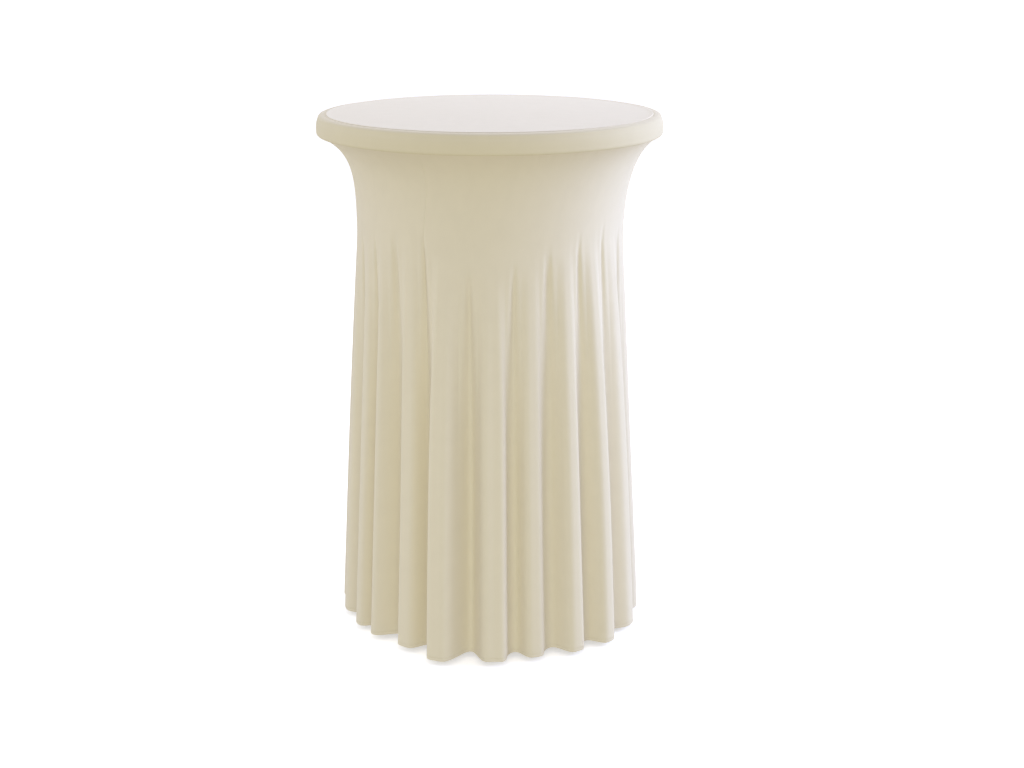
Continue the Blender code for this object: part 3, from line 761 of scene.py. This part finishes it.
# Name, degrees round the table from the front, distance, height, size and colour.
LIGHTS = (
    ("side_light", 85, 3.5, 1.6, 1.6, (0.323, 0.358, 0.539)),
    ("rear_side_light", 110, 3.5, 1.6, 1.6, (0.453, 0.521, 0.709)),
    ("low_front_light", -5, 2.6, 0.45, 1.6, (0.131, 0.132, 0.086)),
    ("rear_top_light", 180, 3.0, 3.2, 2.0, (0.348, 0.358, 0.421)),
    ("left_light", -100, 3.5, 1.8, 2.0, (0.290, 0.297, 0.285)),
)


def add_light(name, around, away, height, size, color):
    """A round softbox of 100 W aimed at the table, at an angle in degrees from the front."""
    data = bpy.data.lights.new(name, "AREA")
    data.shape = "DISK"
    data.size = size
    data.energy = 100
    data.color = color
    light = bpy.data.objects.new(name, data)
    bpy.context.scene.collection.objects.link(light)
    turn = radians(around)
    light.location = (away * sin(turn), -away * cos(turn), height)
    light.rotation_euler = (Vector((0, 0, 0.6)) - light.location).to_track_quat("-Z", "Y").to_euler()
    light.visible_camera = False


def studio_world():
    """A white tent: cool light from above, and a weaker, warmer return from the floor below."""
    world = bpy.data.worlds.new("studio")
    world.use_nodes = True
    tree = world.node_tree
    way = node(tree, "ShaderNodeTexCoord").outputs["Generated"]
    up = node(tree, "ShaderNodeSeparateXYZ", ((0, way),)).outputs["Z"]
    share = node(tree, "ShaderNodeMapRange", (("Value", up), ("From Min", -1), ("From Max", 1)))
    tent = node(tree, "ShaderNodeValToRGB", ((0, share.outputs[0]),))
    stops = tent.color_ramp.elements
    below, above = stops
    below.position = 0.2
    below.color = (0.493, 0.44, 0.377, 1)
    above.position = 0.8
    above.color = (0.691, 0.681, 0.761, 1)
    stops.new(0.5).color = (0.604, 0.607, 0.638, 1)
    tree.links.new(tent.outputs[0], tree.nodes["Background"].inputs["Color"])
    return world


def paper_sweep():
    """A round floor that curves up into a wall, like seamless paper hung all round the table."""
    reach = 9  # of the flat floor
    bend = 5  # radius of the curve
    top = 16
    steps = 96
    profile = [(0.01, 0), (3, 0), (6, 0), (reach, 0)]
    for degree in range(6, 91, 6):
        turn = radians(degree)
        profile.append((reach + bend * sin(turn), bend * (1 - cos(turn))))
    profile.append((reach + bend, top))
    angle = np.arange(steps) * 2 * pi / steps
    rows = [
        np.stack([radius * np.sin(angle), -radius * np.cos(angle), height + 0 * angle], -1)
        for radius, height in reversed(profile)
    ]
    # The last row closes the floor under the table instead of joining the first.
    walls = (len(rows) - 1) * steps
    faces = grid_faces(len(rows), steps, ring=True)[:walls]
    faces.append(tuple(range(walls, walls + steps)))
    return linked("white_paper_sweep", np.concatenate(rows), faces)


def white_paper():
    """Matt white seamless paper, lit from behind enough to stay white."""
    return new_material(
        "white_seamless_paper",
        "EFEFEF",
        0.9,
        Emission_Strength=0.5,
        Emission_Color=(1, 1, 1, 1),
        Specular_IOR_Level=0.0,
    )[0]


# Operators and panel


class COVER_OT_table(bpy.types.Operator):
    """Gives the table inside the cover its materials and softens its cast edges"""

    bl_idname = "cover.table"
    bl_label = "Table inside"

    def execute(self, context):
        feet = [f"foot_pad_{place}" for place in PLACES]
        plated = ["tie_rod"]
        plated += [f"tie_rod_{kind}_{end}" for kind in ("nut", "washer") for end in ("top", "bottom")]
        plated += [f"spider_screw_{ring}_{place}" for ring in ("inner", "outer") for place in PLACES]
        plated += [f"foot_stud_{place}" for place in PLACES]
        for material, names in (
            (braided_elastic(), ["cover_rim_elastic"]),
            (chipboard(), ["table_core"]),
            (extruded_vinyl(), ["table_edge_bumper"]),
            (powder_coated_iron(), ["top_spider", "pedestal_base"]),
            (painted_steel(), ["column_tube"]),
            (zinc_plate(), plated),
            (moulded_nylon(), feet),
        ):
            for name in names:
                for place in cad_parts[name].material_slots:
                    place.material = material
        for name, width in (("pedestal_base", 0.0015), ("top_spider", 0.001)):
            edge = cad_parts[name].modifiers.new("cast_edge", "BEVEL")
            edge.width = width
            edge.segments = 2
            edge.limit_method = "ANGLE"
            edge.angle_limit = radians(40)
        return {"FINISHED"}


class COVER_OT_top(bpy.types.Operator):
    """Adds the stretched top panel and the band round the table's edge"""

    bl_idname = "cover.top"
    bl_label = "Top and rim"

    def execute(self, context):
        settings = context.scene.cover_settings
        cloth = settings.cloth
        top = turned_skin("cover_top_cloth", top_profile(), cloth, 360, top_unevenness)
        band = turned_skin("cover_rim_band_cloth", band_profile(), cloth, 720, band_unevenness)
        # The band's knit is a deeper ivory than the top's: painted shade, standing in for the dimmer light
        # on the rim's face.
        top.data.materials.append(knit("ivory_stretch_knit", settings.knit_color))
        band.data.materials.append(knit("ivory_stretch_knit_painted_shade", settings.band_painted_shade_color))
        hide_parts("cover_top_panel")
        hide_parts("cover_rim_band")
        return {"FINISHED"}


class COVER_OT_skirt(bpy.types.Operator):
    """Adds the two panels of the wavy skirt"""

    bl_idname = "cover.skirt"
    bl_label = "Skirt"

    def execute(self, context):
        settings = context.scene.cover_settings
        hem = Hem(settings.hem_radius)
        front = settings.front_seam
        for name, start, end in (
            ("skirt_panel_right", front, front + pi),
            ("skirt_panel_left", front + pi, front + 2 * pi),
        ):
            panel = skirt_panel(name + "_cloth", hem, settings, start, end)
            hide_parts(name)
            panel.data.materials.append(knit("ivory_stretch_knit", settings.knit_color))
            thread = hem_stitches(name + "_hem_thread", hem, settings, start, end)
            thread.data.materials.append(sewing_thread())
        return {"FINISHED"}


class COVER_OT_stage(bpy.types.Operator):
    """Sets out the floor, the lights and the camera"""

    bl_idname = "cover.stage"
    bl_label = "Stage"

    def execute(self, context):
        scene = context.scene
        settings = scene.cover_stage
        data = bpy.data.cameras.new("camera")
        data.lens = settings.lens
        camera = bpy.data.objects.new("camera", data)
        scene.collection.objects.link(camera)
        camera.location = (0, -settings.distance, settings.height)
        camera.rotation_euler = (pi / 2 - settings.pitch, 0, -settings.yaw)
        scene.camera = camera
        scene.view_settings.view_transform = "Standard"
        scene.world = studio_world()
        sweep = paper_sweep()
        sweep.data.materials.append(white_paper())
        # The paper takes the shadow, but the light it would throw back comes from the world's lower half.
        sweep.visible_diffuse = False
        sweep.visible_shadow = False
        for light in LIGHTS:
            add_light(*light)
        return {"FINISHED"}


class COVER_PT_pieces(bpy.types.Panel):
    """Lists the cover's pieces and its settings"""

    bl_idname = "COVER_PT_pieces"
    bl_label = "Table Cover"
    bl_space_type = "VIEW_3D"
    bl_region_type = "UI"
    bl_category = "Table Cover"

    def draw(self, context):
        column = self.layout.column()
        for operator in OPERATORS:
            column.operator(operator.bl_idname)
        for settings in (context.scene.cover_settings, context.scene.cover_stage):
            for name in settings.__annotations__:
                column.prop(settings, name)


OPERATORS = (COVER_OT_table, COVER_OT_top, COVER_OT_skirt, COVER_OT_stage)
CLASSES = (CoverSettings, StageSettings, *OPERATORS, COVER_PT_pieces)


def register():
    for cls in CLASSES:
        bpy.utils.register_class(cls)
    bpy.types.Scene.cover_settings = bpy.props.PointerProperty(type=CoverSettings)
    bpy.types.Scene.cover_stage = bpy.props.PointerProperty(type=StageSettings)


def unregister():
    del bpy.types.Scene.cover_stage
    del bpy.types.Scene.cover_settings
    for cls in reversed(CLASSES):
        bpy.utils.unregister_class(cls)


def main():
    register()
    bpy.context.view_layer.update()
    bpy.ops.cover.table()
    bpy.ops.cover.top()
    bpy.ops.cover.skirt()
    bpy.ops.cover.stage()


if __name__ == "__main__":
    main()
